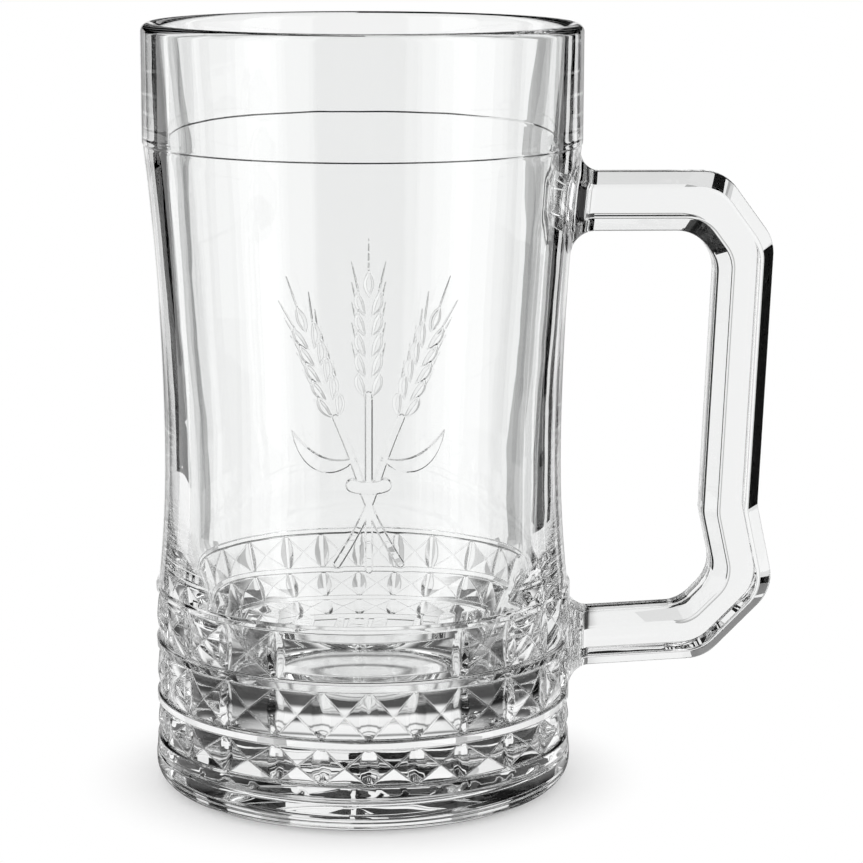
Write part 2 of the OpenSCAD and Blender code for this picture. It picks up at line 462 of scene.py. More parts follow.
def panel_field(a, b, low, high):
    """The plain panel's field, with lines along its bevels."""
    sheet = Sheet()
    edge_lines(sheet, a, low, high, b, PANEL_COLUMNS)
    lens_lines(sheet, a, b, panel_lens_width)
    for shift in (-HIP_REACH, 0, HIP_REACH):
        w = a - PANEL_BEVEL - shift
        h = b - PANEL_BEVEL - shift
        sheet.box(spread(-w, w, PANEL_COLUMNS), spread(-h, h, PANEL_STEPS))
    heights = spread(-b + PANEL_INSET, b - PANEL_INSET, PANEL_DOTS)
    sheet.dots([(x, y) for x in spread(-a, a, PANEL_COLUMNS)[2:-2] for y in heights])
    return sheet.fill()


def build_band(mesh):
    """Three rows of diamonds between ribs, with a plain panel at the front of the upper row."""
    fields = {}
    for row, (z, h) in enumerate(zip(ROW_Z, ROW_HEIGHTS)):
        b = h / 2
        z0 = z + b
        low = (BAND_LOW if row == 0 else z - RIB / 2) - z0
        high = z + h + RIB / 2 - z0
        for i, (middle, half) in enumerate(CELLS):
            if row > 0 and i in ROOT_CELLS:
                continue
            if row == TOP_ROW and i < PANEL_CELLS:
                continue
            a = half * BAND_R
            key = (row, round(a, 4))
            if key not in fields:
                fields[key] = diamond_field(a, b, low, high)
            lay(mesh, fields[key], lambda x, y: diamond(x, y, a, b), middle, z0)
        if row == TOP_ROW:
            a = math.radians(PANEL_DEG / 2) * BAND_R
            field = panel_field(a, b, low, high)
            lay(mesh, field, lambda x, y: panel(x, y, a, b), math.radians(FRONT_DEG), z0)


def bar_section():
    """The octagon section of the bar with rounded edges: points and normals, in (thickness, depth)."""
    t, w, c = BAR_T / 2, BAR_W / 2, BAR_BEVEL
    outer = w - OUTER_BEVEL_W
    corners = np.array([
        (t, -outer),
        (t, outer),
        (t - c, w),
        (c - t, w),
        (-t, w - c),
        (-t, c - w),
        (c - t, -w),
        (t - c, -w),
    ])
    count = len(corners)
    rounds = []
    for i, here in enumerate(corners):
        before, after = corners[i - 1], corners[(i + 1) % count]
        d0 = (here - before) / np.linalg.norm(here - before)
        d1 = (after - here) / np.linalg.norm(after - here)
        half = math.acos(np.clip(d0 @ d1, -1, 1)) / 2
        radius = SIDE_EDGE_R if abs(here[0]) == t else EDGE_R
        n0 = np.array([d0[1], -d0[0]])
        n1 = np.array([d1[1], -d1[0]])
        centre = here - d0 * radius * math.tan(half) - n0 * radius
        a0 = math.atan2(n0[1], n0[0])
        angles = [a0 + 2 * half * k / EDGE_STEPS for k in range(EDGE_STEPS + 1)]
        rounds.append((centre, radius, angles, n1))
    points, normals = [], []
    for i, (centre, radius, angles, flat_normal) in enumerate(rounds):
        for a in angles:
            n = np.array([math.cos(a), math.sin(a)])
            points.append(centre + radius * n)
            normals.append(n)
        start = points[-1]
        next_centre, next_radius, next_angles, _ = rounds[(i + 1) % count]
        a = next_angles[0]
        stop = next_centre + next_radius * np.array([math.cos(a), math.sin(a)])
        for k in range(1, FLAT_STEPS):
            points.append(start + (stop - start) * k / FLAT_STEPS)
            normals.append(flat_normal)
    return np.array(points), np.array(normals)


SECTION, SECTION_N = bar_section()

# The bar's centre line, as (x, z) points from the upper root to the lower one
ROOT_X = WAIST_R - ROOT_R
KNEE_X = WAIST_R + FINGER_ROOM + BAR_T / 2
TOE = (KNEE_X + TOE_OUT, TOE_Z)
GRIP_TOP = (KNEE_X + GRIP_LEAN, UPPER_BAR_Z - CORNER_H)
PATH = np.array([
    (ROOT_X, UPPER_BAR_Z),
    (GRIP_TOP[0] - CORNER_W, UPPER_BAR_Z),
    GRIP_TOP,
    (KNEE_X, KNEE_Z),
    TOE,
    (TOE[0] - TOE_W, LOWER_BAR_Z),
    (ROOT_X, LOWER_BAR_Z - LOWER_BAR_FALL),
])
HEADINGS = [math.atan2(q[1] - p[1], q[0] - p[0]) for p, q in zip(PATH, PATH[1:])]
FALL = LOWER_BAR_FALL / (PATH[-2][0] - PATH[-1][0])
LOWER_ROOT_Z = PATH[-1][1] + FALL * (BAND_R - ROOT_X)

# The fields of the bowl that the roots stand on
FIELD_LOW = ROW_Z[1] - RIB / 2
FIELD_MID = (FIELD_LOW + BAND_HIGH) / 2
FIELD_B = (BAND_HIGH - FIELD_LOW) / 2
FIELD_A = SIDE_HALF * BAND_R
ROOT_MID = (ROOT_LOW + ROOT_HIGH) / 2
ROOT_BASE = float(body_r(UPPER_BAR_Z))


def lower_field_height(x, y):
    """Level with the ribs, down to its neighbours' cuts at the sides."""
    s = FIELD_A - np.abs(x)
    z = FIELD_MID + y
    in_middle = z < ROW_Z[TOP_ROW] - RIB / 2
    b = np.where(in_middle, ROW_HEIGHTS[1], ROW_HEIGHTS[TOP_ROW]) / 2
    low = np.where(in_middle, ROW_Z[1], ROW_Z[TOP_ROW])
    top = smooth_min(RIB_SLOPE * s - DIAMOND_H, 0 * s, RIB_SLOPE * RIB_REACH)
    return np.minimum(between(top, s, z - low - b, b), 0)


def upper_field_height(x, y):
    return body_r(ROOT_MID + y) - ROOT_BASE


def lower_surface(y, z):
    """Radius of the bowl's outside at (y, z) in the lower root's field."""
    r = BAND_R + 0 * y
    for _ in range(SURFACE_ROUNDS):
        theta = np.arcsin(y / r)
        r = BAND_R + lower_field_height(theta * BAND_R, z - FIELD_MID)
    return r


def upper_surface(y, z):
    return body_r(z)


def root_ring(z0, growth, up):
    """The bar's section, grown, as (y, z) points of a root at the height z0, its outer side up or down."""
    p = SECTION + growth * SECTION_N
    return np.stack([p[:, 1], z0 + up * p[:, 0]], 1)


def ring_on_field(ring, base, surface, z0):
    """A root's ring of (y, z) points as (x, y) points of a field round +X."""
    y, z = ring[:, 0], ring[:, 1]
    theta = np.arcsin(y / surface(y, z))
    return np.stack([theta * base, z - z0], 1)


def inside(ring, p):
    """Whether the point p lies inside the closed ring of points."""
    x, y = p
    x0, y0 = ring[:, 0], ring[:, 1]
    x1, y1 = np.roll(x0, -1), np.roll(y0, -1)
    crosses = (y0 > y) != (y1 > y)
    with np.errstate(divide="ignore", invalid="ignore"):
        at = x0 + (y - y0) * (x1 - x0) / (y1 - y0)
    return bool(np.sum(crosses & (x < at)) % 2)


def clear_dots(dots, ring, margin):
    """The dots that keep a margin from the ring."""
    kept = []
    for p in dots:
        near = np.min(np.hypot(ring[:, 0] - p[0], ring[:, 1] - p[1]))
        if near > margin:
            kept.append(p)
    return kept


def hole_and_plug(mesh, plug, sheet, ring, height, base, z0):
    """Fills a field round a root's ring, and the patch inside the ring where bowl and handle join."""
    sheet.line([*ring, ring[0]])
    points, faces = sheet.fill()
    outer, shared = [], []
    for corners in faces:
        middle = points[corners].mean(0)
        (shared if inside(ring, middle) else outer).append(corners)
    lay(mesh, (points, outer), height, 0.0, z0, base)
    lay(mesh, (points, shared), height, 0.0, z0, base, JOINT_SLOT)
    lay(plug, (points, [corners[::-1] for corners in shared]), height, 0.0, z0, base, JOINT_SLOT)


def build_lower_field(mesh, plug):
    """The plain field of the band, round the lower root."""
    sides = [-FIELD_B]
    for row in (1, TOP_ROW):
        low = ROW_Z[row] - FIELD_MID
        half = ROW_HEIGHTS[row] / 2
        sides += [low + half + y for y in row_sides(half)]
        if row < TOP_ROW:
            sides.append(low + 2 * half + RIB / 2)
    sides.append(FIELD_B)
    sheet = Sheet()
    sheet.box(spread(-FIELD_A, FIELD_A, 2 * CELL_COLUMNS), sides)
    ring = ring_on_field(root_ring(LOWER_ROOT_Z, LOWER_ROOT_R, -1), BAND_R, lower_surface, FIELD_MID)
    a, b = FIELD_A - LOWER_INSET, FIELD_B - LOWER_INSET
    dots = [(x, y) for x in spread(-a, a, LOWER_DOTS) for y in spread(-b, b, LOWER_DOTS)]
    sheet.dots(clear_dots(dots, ring, LOWER_MARGIN))
    hole_and_plug(mesh, plug, sheet, ring, lower_field_height, BAND_R, FIELD_MID)


# Relief on the front of the body: heights and widths of slopes, radii of strokes
GRAIN_H, GRAIN_W = 0.5, 1.0
AWN_H, AWN_W = 0.2, 0.25
STEM_H, SLOPE_W = 0.45, 0.45
TIE_H = 0.7
GRAIN_RADII = (0.3, 2.0, 0.15)
TIP_RADII = (0.4, 2.1, 0.15)
AWN_RADII = (0.25, 0.25, 0.15)
STEM_RADII = (0.85, 0.85, 0.85)
LEAF_RADII = (0.4, 3.0, 0.1)
TIE_RADII = (1.5, 1.5, 1.5)

# A grain's points and its awn's end, each as (along, out) from where it starts on the ear
EAR_PAIRS = 5
GRAIN_START = 0.5
GRAIN_BELLY = (2.6, 2.3)
GRAIN_POINT = (5.0, 1.9)
AWN_END = (5.5, 1.2)
TIP_AWN = 6.0

# The sheaf's lines, in millimetres from the middle of the relief
MIDDLE_EAR = ((0, 1.5), (0, 21))
SIDE_EAR = ((6.2, -2.5), (11.8, 14))
MIDDLE_STEM = ((0, -32), (0, -16), (0, 2))
SIDE_STEM = ((6.2, -2.5), (3.4, -9), (1.4, -15.5))
CROSSED_STEM = ((1.4, -15.5), (-0.4, -22), (-6.0, -31))
LEAF = ((2.6, -10.5), (10.5, -15.0), (15.0, -5.0))
TIE = ((-3.0, -15.6), (0, -16.6), (3.0, -15.6))

# Steps of a stroke's mesh
STROKE_STEP = 0.45
STROKE_STEPS = 12
SLOPE_STEPS = 4
CAP_DEG, CAP_STEPS = 75, 10


class Stroke:
    """A raised stroke along a curve of three points, with a radius at each."""

    def __init__(self, points, radii, height, edge):
        points = np.array(points, float)
        length = np.linalg.norm(points[2] - points[0])
        t = spread(0, 1, max(STROKE_STEPS, int(length / STROKE_STEP)))
        blend = np.stack([(1 - t) ** 2, 2 * t * (1 - t), t ** 2], 1)
        self.middle = blend @ points
        self.radius = blend @ np.array(radii, float)
        self.height = height
        self.edge = edge
        along = np.gradient(self.middle, axis=0)
        self.way = along / np.linalg.norm(along, axis=1)[:, None]
        self.side = np.stack([-self.way[:, 1], self.way[:, 0]], 1)

    def rise(self, x, y):
        """How far the stroke stands above the body at each point."""
        depth = np.full(x.shape, -1.0)
        for (px, py), r in zip(self.middle, self.radius):
            depth = np.maximum(depth, r - np.hypot(x - px, y - py))
        return self.height * ease(depth / self.edge)

    def dots(self):
        """Points along the stroke's edge, on its slope and down its middle."""
        found = [self.middle]
        turns = np.radians(spread(-CAP_DEG, CAP_DEG, CAP_STEPS))[:, None]
        for depth in spread(0, self.edge, SLOPE_STEPS):
            for sign in (-1, 1):
                off = np.maximum(self.radius - depth, 0)[:, None]
                found.append(self.middle + sign * self.side * off)
            for end, sign in ((0, -1), (-1, 1)):
                reach = max(self.radius[end] - depth, 0)
                way = sign * self.way[end] * np.cos(turns) + self.side[end] * np.sin(turns)
                found.append(self.middle[end] + reach * way)
        return np.concatenate(found)


def sheaf():
    """Three ears of barley on crossed stems, tied together, with a leaf on each side."""
    strokes = []

    def stroke(points, radii, height, edge):
        strokes.append(Stroke(points, radii, height, edge))

    def ear(base, tip):
        base, tip = np.array(base, float), np.array(tip, float)
        way = (tip - base) / np.linalg.norm(tip - base)
        for pair in range(EAR_PAIRS):
            foot = base + (tip - base) * pair / EAR_PAIRS
            for hand in (-1, 1):
                out = hand * np.array([way[1], -way[0]])
                start = foot + GRAIN_START * out
                belly = foot + GRAIN_BELLY[0] * way + GRAIN_BELLY[1] * out
                point = foot + GRAIN_POINT[0] * way + GRAIN_POINT[1] * out
                far = point + AWN_END[0] * way + AWN_END[1] * out
                stroke((start, belly, point), GRAIN_RADII, GRAIN_H, GRAIN_W)
                stroke((point, (point + far) / 2, far), AWN_RADII, AWN_H, AWN_W)
        end = tip + GRAIN_POINT[0] * way
        far = end + TIP_AWN * way
        stroke((tip, tip + GRAIN_POINT[0] / 2 * way, end), TIP_RADII, GRAIN_H, GRAIN_W)
        stroke((end, end + TIP_AWN / 2 * way, far), AWN_RADII, AWN_H, AWN_W)

    ear(*MIDDLE_EAR)
    stroke(MIDDLE_STEM, STEM_RADII, STEM_H, SLOPE_W)
    for hand in (-1, 1):
        ear(*((hand * x, y) for x, y in SIDE_EAR))
        for points, radii in ((SIDE_STEM, STEM_RADII), (CROSSED_STEM, STEM_RADII), (LEAF, LEAF_RADII)):
            stroke([(hand * x, y) for x, y in points], radii, STEM_H, SLOPE_W)
    stroke(TIE, TIE_RADII, TIE_H, SLOPE_W)
    return strokes


def body_rows():
    """Heights of the body's rows, with one at each edge of a gap in the grid."""
    marks = [SHOULDER_Z, RELIEF_LOW, ROOT_LOW, RELIEF_HIGH, ROOT_HIGH]
    rows = []
    for low, high in zip(marks, marks[1:]):
        steps = max(1, round((high - low) / BODY_STEP))
        rows.extend(spread(low, high, steps)[:-1])
    return np.array(rows + [ROOT_HIGH])


def rows_between(rows, low, high):
    return [z for z in rows if low - TOLERANCE <= z <= high + TOLERANCE]


def build_relief(mesh, rows):
    """The front of the body with the sheaf on it, in the gap of the body's grid."""
    strokes = sheaf()
    mid = (RELIEF_LOW + RELIEF_HIGH) / 2
    inner = [z - mid for z in rows_between(rows, RELIEF_LOW, RELIEF_HIGH)]
    front = math.radians(FRONT_DEG)
    across = [(t - front) * WAIST_R for t in COLUMNS[:PANEL_COLUMNS + 1]]

    def height(x, y):
        rise = np.zeros(x.shape)
        for stroke in strokes:
            rise = np.maximum(rise, stroke.rise(x, y))
        return body_r(mid + y) - WAIST_R + rise

    sheet = Sheet()
    sheet.box(across, inner)
    sheet.dots([(x, y) for x in across[1:-1] for y in inner[1:-1]])
    for stroke in strokes:
        sheet.dots(stroke.dots())
    lay(mesh, sheet.fill(), height, front, mid, WAIST_R)


def build_upper_field(mesh, plug, rows, angles):
    """The part of the body round the upper root, in the gap of the body's grid."""
    inner = [z - ROOT_MID for z in rows_between(rows, ROOT_LOW, ROOT_HIGH)]
    across = [math.remainder(t, math.tau) * ROOT_BASE for t in angles]
    sheet = Sheet()
    sheet.box(across, inner)
    ring = ring_on_field(root_ring(UPPER_BAR_Z, ROOT_R, 1), ROOT_BASE, upper_surface, ROOT_MID)
    dots = [(x, y) for x in spread(across[0], across[-1], UPPER_DOTS)[1:-1] for y in inner[1:-1]]
    sheet.dots(clear_dots(dots, ring, UPPER_MARGIN))
    hole_and_plug(mesh, plug, sheet, ring, upper_field_height, ROOT_BASE, ROOT_MID)


def build_body(mesh, plug):
    """The smooth body up to the rim step, with the relief and the upper root's field in its gaps."""
    rows = body_rows()
    count = len(COLUMNS)
    zero = int(np.argmin(np.abs(COLUMNS)))
    gap = [(zero - ROOT_COLUMNS + k) % count for k in range(2 * ROOT_COLUMNS + 1)]
    grid = []
    for z in rows:
        slope = (body_r(z + SLOPE_STEP) - body_r(z - SLOPE_STEP)) / (2 * SLOPE_STEP)
        if z == SHOULDER_Z:
            slope = SHOULDER_SLOPE
        norm = math.hypot(1, slope)
        start = mesh.add(turn(body_r(z), z, COLUMNS), turn(1 / norm, -slope / norm, COLUMNS))
        grid.append([start + j for j in range(count)])
    for i in range(len(rows) - 1):
        at_root = len(rows_between(rows[i:i + 2], ROOT_LOW, ROOT_HIGH)) == 2
        at_relief = len(rows_between(rows[i:i + 2], RELIEF_LOW, RELIEF_HIGH)) == 2
        for j in range(count):
            if at_root and j in gap[:-1]:
                continue
            if at_relief and j < PANEL_COLUMNS:
                continue
            k = (j + 1) % count
            mesh.face([grid[i][j], grid[i][k], grid[i + 1][k], grid[i + 1][j]])
    build_relief(mesh, rows)
    build_upper_field(mesh, plug, rows, COLUMNS[gap])


def outline_normals(points):
    """Normals of an open outline of (r, z) points, to the right of the way it runs."""
    along = np.gradient(points, axis=0)
    return np.stack([along[:, 1], -along[:, 0]], 1) / np.linalg.norm(along, axis=1)[:, None]


def arc(centre, radius, start, stop, steps):
    angles = np.radians(spread(start, stop, steps))
    return np.stack([centre[0] + radius * np.cos(angles), centre[1] + radius * np.sin(angles)], 1)


def edge_points(r, z, edge):
    """Points of an outline, given as (out, up) from a corner at (r, z)."""
    return [(r + out, z + up) for out, up in edge]


def build_lower(mesh):
    """The underside and foot, from the axis out and up to the band."""
    radii = spread(0, STAND_IN_R - PUNT_EDGE, PUNT_STEPS)
    outline = np.array([
        *((r, PUNT_H * (1 - (r / STAND_IN_R) ** 2)) for r in radii),
        *edge_points(STAND_IN_R, 0.0, STAND_EDGE),
        (STAND_OUT_R - STAND_FLAT, 0.0),
        *arc((STAND_OUT_R, HEEL_R), HEEL_R, -90, 0, HEEL_STEPS),
        *edge_points(FOOT_R, FOOT_H, FOOT_EDGE),
        (BAND_R, BAND_LOW),
    ])
    normals = outline_normals(outline)
    normals[0] = (0, -1)
    revolve(mesh, outline, normals)


def build_shoulder(mesh):
    """The step from the top of the band up to the body."""
    outline = np.array([*edge_points(BAND_R, BAND_HIGH, SHOULDER_EDGE), (SHOULDER_R, SHOULDER_Z)])
    normals = np.array(SHOULDER_NORMALS)
    normals /= np.linalg.norm(normals, axis=1)[:, None]
    revolve(mesh, outline, normals)


def build_upper(mesh):
    """The rim band from the top of the body over the lip, the inside, and the floor to its middle."""
    cup = []
    for t in np.radians(spread(0, 90, CUP_STEPS))[1:]:
        r = FLOOR_R + (NECK_R - FLOOR_R) * math.cos(t)
        cup.append((r, CUP_Z - (CUP_Z - FLOOR_Z) * math.sin(t)))
    outline = np.array([
        (body_r(ROOT_HIGH), ROOT_HIGH),
        *edge_points(RIM_R, STEP_Z, STEP_EDGE),
        *((RIM_R, z) for z in spread(RIM_LOW, LIP_Z, RIM_STEPS)),
        *arc((RIM_R - LIP_R, LIP_Z), LIP_R, 0, 180, LIP_STEPS)[1:],
        *((inner_r(z), z) for z in spread(LIP_Z, CUP_Z, WALL_STEPS)[1:]),
        *cup,
        *((r, FLOOR_Z) for r in spread(FLOOR_R, 0, FLOOR_STEPS)[1:]),
    ])
    normals = outline_normals(outline)
    normals[-1] = (0, 1)
    revolve(mesh, outline, normals)


# The handle is a row of rings, each a pair of points and normals


def across_bar(section, heading):
    """Points or normals of the bar's section, turned to stand across a bar that runs at the heading."""
    out = np.array([-math.sin(heading), 0, math.cos(heading)])
    return section[:, :1] * out + section[:, 1:] * np.array([0, 1, 0])


def bar_ring(x, z, heading):
    return np.array([x, 0, z]) + across_bar(SECTION, heading), across_bar(SECTION_N, heading)


def root_rings(z0, radius, surface, fall, up):
    """Rings of a root's fillet, from the bowl's wall out to the bar."""
    rings = []
    for phi in np.radians(spread(0, 90, ROOT_STEPS)):
        ring = root_ring(z0, radius * (1 - math.sin(phi)), up)
        y, z = ring[:, 0], ring[:, 1]
        r = surface(y, z)
        x = np.sqrt(r * r - y * y)
        out = np.stack([x, y, 0 * y], 1)
        out /= np.linalg.norm(out, axis=1)[:, None]
        side = np.stack([0 * y, SECTION_N[:, 1], up * SECTION_N[:, 0]], 1)
        normals = math.cos(phi) * out + math.sin(phi) * side
        normals /= np.linalg.norm(normals, axis=1)[:, None]
        rise = radius * (1 - math.cos(phi))
        rings.append((np.stack([x + rise, y, z + fall * rise], 1), normals))
    return rings


def bend_middle(i, u, radius):
    """Middle of a bend's arc on the side of the bar that lies u to the left of its centre line."""
    before, after = HEADINGS[i - 1], HEADINGS[i]
    left = [np.array([-math.sin(h), math.cos(h)]) for h in (before, after)]
    corner = PATH[i] + u * (left[0] + left[1]) / (1 + left[0] @ left[1])
    swing = math.remainder(after - before, math.tau)
    way = np.array([math.cos(before), math.sin(before)])
    begin = corner - way * radius * math.tan(abs(swing) / 2)
    return begin + math.copysign(radius, swing) * left[0]


def bend_rings(i):
    """Rings round the bend at a point of the path, whose two sides have radii of their own."""
    swing = math.remainder(HEADINGS[i] - HEADINGS[i - 1], math.tau)
    radii = (BEND_IN_R, BEND_OUT_R) if swing < 0 else (BEND_OUT_R, BEND_IN_R)
    middles = [bend_middle(i, u, r) for u, r in zip((-BAR_T / 2, BAR_T / 2), radii)]
    share = SECTION[:, :1] / BAR_T + 0.5
    steps = max(BEND_STEPS, int(abs(math.degrees(swing)) / BEND_STEP_DEG))
    rings = []
    for t in spread(0, swing, steps):
        heading = HEADINGS[i - 1] + t
        spoke = math.copysign(1, swing) * np.array([math.sin(heading), -math.cos(heading)])
        low, high = (middle + r * spoke for middle, r in zip(middles, radii))
        flat = low + share * (high - low)
        points = np.stack([flat[:, 0], SECTION[:, 1], flat[:, 1]], 1)
        rings.append((points, across_bar(SECTION_N, heading)))
    return rings


def straight_rings(last, ring):
    """Rings from the last one straight on to the next, and that one."""
    points, normals = ring
    step = points - last[0]
    steps = max(1, int(np.linalg.norm(step, axis=1).mean() / BAR_STEP))
    return [(last[0] + step * k / steps, normals) for k in range(1, steps + 1)]


def build_handle(mesh):
    """The bar's surface, from the upper root to the lower one."""
    rings = root_rings(UPPER_BAR_Z, ROOT_R, upper_surface, 0.0, 1)
    rings.append(bar_ring(ROOT_BASE + ROOT_R + ROOT_STRAIGHT, UPPER_BAR_Z, HEADINGS[0]))
    for i in range(1, len(PATH) - 1):
        first, *others = bend_rings(i)
        rings += straight_rings(rings[-1], first)
        rings += others
    x = BAND_R + ROOT_R + ROOT_STRAIGHT
    end = bar_ring(x, LOWER_ROOT_Z + FALL * (x - BAND_R), HEADINGS[-1])
    rings += straight_rings(rings[-1], end)
    rings += reversed(root_rings(LOWER_ROOT_Z, LOWER_ROOT_R, lower_surface, FALL, -1))
    starts = [mesh.add(points, normals) for points, normals in rings]
    count = len(SECTION)
    for a, b in zip(starts, starts[1:]):
        for j in range(count):
            k = (j + 1) % count
            mesh.face([a + j, b + j, b + k, a + k])


# Materials of the mug
GLASS_COLOUR = (0.995, 1.0, 0.998, 1)
GLASS_IOR = 1.52
WAVE_SCALE = 90.0
WAVE_H = 0.00003


def nodes_of(name):
    """A new material with its nodes and links."""
    material = bpy.data.materials.new(name)
    material.use_nodes = True
    return material, material.node_tree.nodes, material.node_tree.links


def lone_shader(name, kind):
    """A material with one plain shader in place of the usual one."""
    material, nodes, links = nodes_of(name)
    nodes.remove(nodes["Principled BSDF"])
    shader = nodes.new(kind)
    links.new(shader.outputs[0], nodes["Material Output"].inputs["Surface"])
    return material, shader


def glass_material():
    """Clear glass with the faint waves of a pressed surface."""
    material, nodes, links = nodes_of("clear_glass")
    shader = nodes["Principled BSDF"]
    shader.inputs["Base Color"].default_value = GLASS_COLOUR
    shader.inputs["Roughness"].default_value = 0.0
    shader.inputs["IOR"].default_value = GLASS_IOR
    shader.inputs["Transmission Weight"].default_value = 1.0
    place = nodes.new("ShaderNodeTexCoord")
    waves = nodes.new("ShaderNodeTexNoise")
    waves.inputs["Scale"].default_value = WAVE_SCALE
    waves.inputs["Detail"].default_value = 1.0
    links.new(place.outputs["Object"], waves.inputs["Vector"])
    bump = nodes.new("ShaderNodeBump")
    bump.inputs["Strength"].default_value = 1.0
    bump.inputs["Distance"].default_value = WAVE_H
    links.new(waves.outputs["Fac"], bump.inputs["Height"])
    links.new(bump.outputs["Normal"], shader.inputs["Normal"])
    return material


glass = glass_material()
# The patch where bowl and handle are one piece of glass, which light crosses unseen
joint, _ = lone_shader("fused_joint", "ShaderNodeBsdfTransparent")

bowl_mesh, handle_mesh = Mesh(), Mesh()
build_lower(bowl_mesh)
build_band(bowl_mesh)
build_lower_field(bowl_mesh, handle_mesh)
build_shoulder(bowl_mesh)
build_body(bowl_mesh, handle_mesh)
build_upper(bowl_mesh)
build_handle(handle_mesh)

bowl = bowl_mesh.weld("bowl_glass", [glass, joint])
handle = handle_mesh.weld("handle_glass", [glass, joint])
for piece, node in ((bowl, "bowl"), (handle, "handle")):
    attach(piece, "root")
    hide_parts(node)

# Camera, at the photograph's viewing angle
IMAGE_PX = 863
FOCAL_PX = 3000
CAMERA_TURN = math.radians(1.5)
CAMERA_OUT = 0.6009
CAMERA_Z = 0.1872
CAMERA_YAW = 0.0232
CAMERA_PITCH = 0.1892
CAMERA_ROLL = math.radians(0.18)


def build_camera():
    camera = bpy.data.objects.new("camera", bpy.data.cameras.new("camera"))
    scene.collection.objects.link(camera)
    camera.data.sensor_width = 36.0
    camera.data.lens = camera.data.sensor_width * FOCAL_PX / IMAGE_PX
    camera.data.clip_start = 0.01
    camera.data.clip_end = 100
    x, y = -CAMERA_OUT * math.sin(CAMERA_TURN), -CAMERA_OUT * math.cos(CAMERA_TURN)
    camera.location = (x, y, CAMERA_Z)
    heading = CAMERA_TURN + CAMERA_YAW
    facing = Vector((
        math.cos(CAMERA_PITCH) * math.sin(heading),
        math.cos(CAMERA_PITCH) * math.cos(heading),
        -math.sin(CAMERA_PITCH),
    ))
    roll = Matrix.Rotation(CAMERA_ROLL, 3, "Z").to_quaternion()
    camera.rotation_mode = "QUATERNION"
    camera.rotation_quaternion = facing.to_track_quat("-Z", "Y") @ roll
    scene.camera = camera


build_camera()

# The floor: a disc under the mug and a wide ring round it, in metres
NEAR_R = 0.075
FAR_R = 4.0
FLOOR_SIDES = 96
FLOOR_COLOUR = (0.92, 0.92, 0.92, 1)
FLOOR_ROUGHNESS = 0.9
# Where the mug's shadow ends, and how much white is mixed into it
SHADOW_R, WHITE_R = 0.036, 0.06
SHADOW_WHITE = 0.35
# Rings of light and shade under the mug, as its glass shows them: (radius in millimetres, light)
TABLE_LIGHT = (
    (10.5, 0.97),
    (12.5, 0.5),
    (14.0, 0.95),
    (16.8, 0.92),
    (18.6, 0.25),
    (20.4, 0.92),
    (24.2, 0.9),
    (26.0, 0.25),
    (28.0, 0.92),
    (33.0, 0.95),
    (36.5, 0.08),
    (41.5, 0.08),
    (44.0, 0.95),
)
# In the glass the floor darkens to the left and right of the mug's middle, and ends light: this is shade
# painted into the light that the glass sees from the floor
SIDE_X = (0.02, 0.036)
SIDE_END = (0.046, 0.055)
SIDE_LIGHT = 0.05


def either_of(nodes, links, first, second):
    """The greater of two values."""
    node = nodes.new("ShaderNodeMath")
    node.operation = "MAXIMUM"
    links.new(first, node.inputs[0])
    links.new(second, node.inputs[1])
    return node.outputs[0]


def seen_in_glass(nodes, links):
    """One for what glass mirrors or lets through, and nought for the rest."""
    path = nodes.new("ShaderNodeLightPath")
    return either_of(nodes, links, path.outputs["Is Glossy Ray"], path.outputs["Is Transmission Ray"])


def floor_material():
    """Plain pale floor: it keeps the mug's shadow, turns white further out, and is dim under the foot."""
    material, nodes, links = nodes_of("pale_floor")
    shader = nodes["Principled BSDF"]
    shader.inputs["Base Color"].default_value = FLOOR_COLOUR
    shader.inputs["Roughness"].default_value = FLOOR_ROUGHNESS
    shader.inputs["Specular IOR Level"].default_value = 0.0
    place = nodes.new("ShaderNodeTexCoord")
    length = nodes.new("ShaderNodeVectorMath")
    length.operation = "LENGTH"
    links.new(place.outputs["Object"], length.inputs[0])
    split = nodes.new("ShaderNodeSeparateXYZ")
    links.new(place.outputs["Object"], split.inputs[0])
    absolute = nodes.new("ShaderNodeMath")
    absolute.operation = "ABSOLUTE"
    links.new(split.outputs["X"], absolute.inputs[0])
    away, aside = length.outputs["Value"], absolute.outputs[0]

    def grow(distance, start, stop, low, high, kind="SMOOTHSTEP"):
        ramp = nodes.new("ShaderNodeMapRange")
        ramp.interpolation_type = kind
        ramp.inputs["From Min"].default_value = start
        ramp.inputs["From Max"].default_value = stop
        ramp.inputs["To Min"].default_value = low
        ramp.inputs["To Max"].default_value = high
        links.new(distance, ramp.inputs["Value"])
        return ramp.outputs["Result"]

    def mix(factor, first, second):
        node = nodes.new("ShaderNodeMixShader")
        links.new(factor, node.inputs["Fac"])
        links.new(first, node.inputs[1])
        links.new(second, node.inputs[2])
        return node.outputs[0]

    white = nodes.new("ShaderNodeEmission")
    white.inputs["Color"].default_value = (1, 1, 1, 1)
    lit = grow(away, SHADOW_R, WHITE_R, SHADOW_WHITE, 1.0)
    seen = mix(lit, shader.outputs[0], white.outputs[0])
    rings = nodes.new("ShaderNodeValToRGB")
    rings.color_ramp.interpolation = "EASE"
    stops = rings.color_ramp.elements
    while len(stops) < len(TABLE_LIGHT):
        stops.new(0.5)
    for stop, (r, light) in zip(stops, TABLE_LIGHT):
        stop.position = r * MM / NEAR_R
        stop.color = (light, light, light, 1)
    links.new(grow(away, 0, NEAR_R, 0, 1, "LINEAR"), rings.inputs["Fac"])
    # Painted shade: the floor's light in the glass drops to the left and right of the mug
    dark = grow(aside, *SIDE_X, 1.0, SIDE_LIGHT)
    end = grow(aside, *SIDE_END, 0.0, 1.0)
    through = nodes.new("ShaderNodeEmission")
    links.new(rings.outputs["Color"], through.inputs["Color"])
    links.new(either_of(nodes, links, dark, end), through.inputs["Strength"])
    surface = mix(seen_in_glass(nodes, links), seen, through.outputs[0])
    links.new(surface, nodes["Material Output"].inputs["Surface"])
    return material


